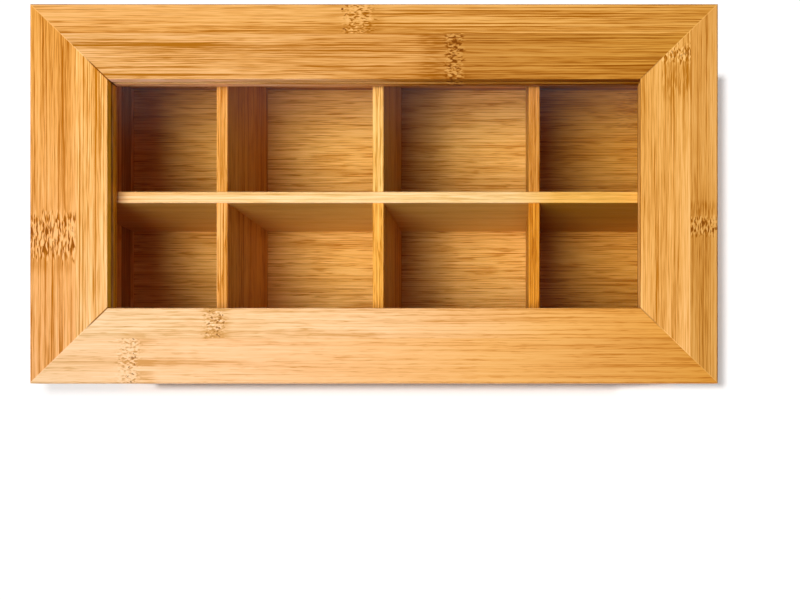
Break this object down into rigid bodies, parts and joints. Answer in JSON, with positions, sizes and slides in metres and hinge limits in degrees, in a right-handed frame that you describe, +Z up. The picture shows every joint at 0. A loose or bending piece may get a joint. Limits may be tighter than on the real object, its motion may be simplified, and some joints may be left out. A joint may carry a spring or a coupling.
{
  "type": "tea bag organizer box",
  "caption": "Rectangular bamboo box with a hinged, mitred lid frame around a clear window, and fixed dividers that make two rows of open compartments.",
  "frame": {"origin": "middle of the closed box's footprint, on the surface that it stands on", "axes": "+X along the length to the right, +Y to the hinged back, +Z up"},
  "size_m": [0.359, 0.198, 0.089],
  "materials": {
    "lid_bamboo": "satin lacquer on carbonised bamboo",
    "wall_bamboo": "satin lacquer on carbonised bamboo",
    "floor_bamboo": "satin lacquer on carbonised bamboo",
    "divider_bamboo": "satin lacquer on carbonised bamboo",
    "pale_bamboo": "satin lacquer on pale bamboo",
    "clear_pane": "polished clear sheet",
    "hinge_brass": "brushed",
    "screw_brass": "polished"
  },
  "bodies": {
    "box": {"front_wall": "wall_bamboo", "back_wall": "wall_bamboo", "left_wall": "wall_bamboo", "right_wall": "wall_bamboo", "bottom_panel": "floor_bamboo", "long_divider": "pale_bamboo", "cross_divider_front_left": "divider_bamboo", "cross_divider_front_middle": "divider_bamboo", "cross_divider_front_right": "divider_bamboo", "cross_divider_back_left": "divider_bamboo", "cross_divider_back_middle": "divider_bamboo", "cross_divider_back_right": "divider_bamboo", "left_hinge_body_leaf": "hinge_brass", "right_hinge_body_leaf": "hinge_brass", "left_hinge_pin": "hinge_brass", "right_hinge_pin": "hinge_brass", "hinge_body_screws": "screw_brass"},
    "lid": {"lid_front_rail": "lid_bamboo", "lid_back_rail": "lid_bamboo", "lid_left_stile": "lid_bamboo", "lid_right_stile": "lid_bamboo", "lid_window_pane": "clear_pane", "lid_mitre_tongues": "floor_bamboo", "left_hinge_lid_leaf": "hinge_brass", "right_hinge_lid_leaf": "hinge_brass", "hinge_lid_screws": "screw_brass"}
  },
  "joints": [
    {"name": "lid_hinge", "type": "hinge", "parent": "box", "child": "lid", "pos_m": [0, 0.0966, 0.079], "axis": [-1, 0, 0], "range_deg": [0, 100]}
  ]
}
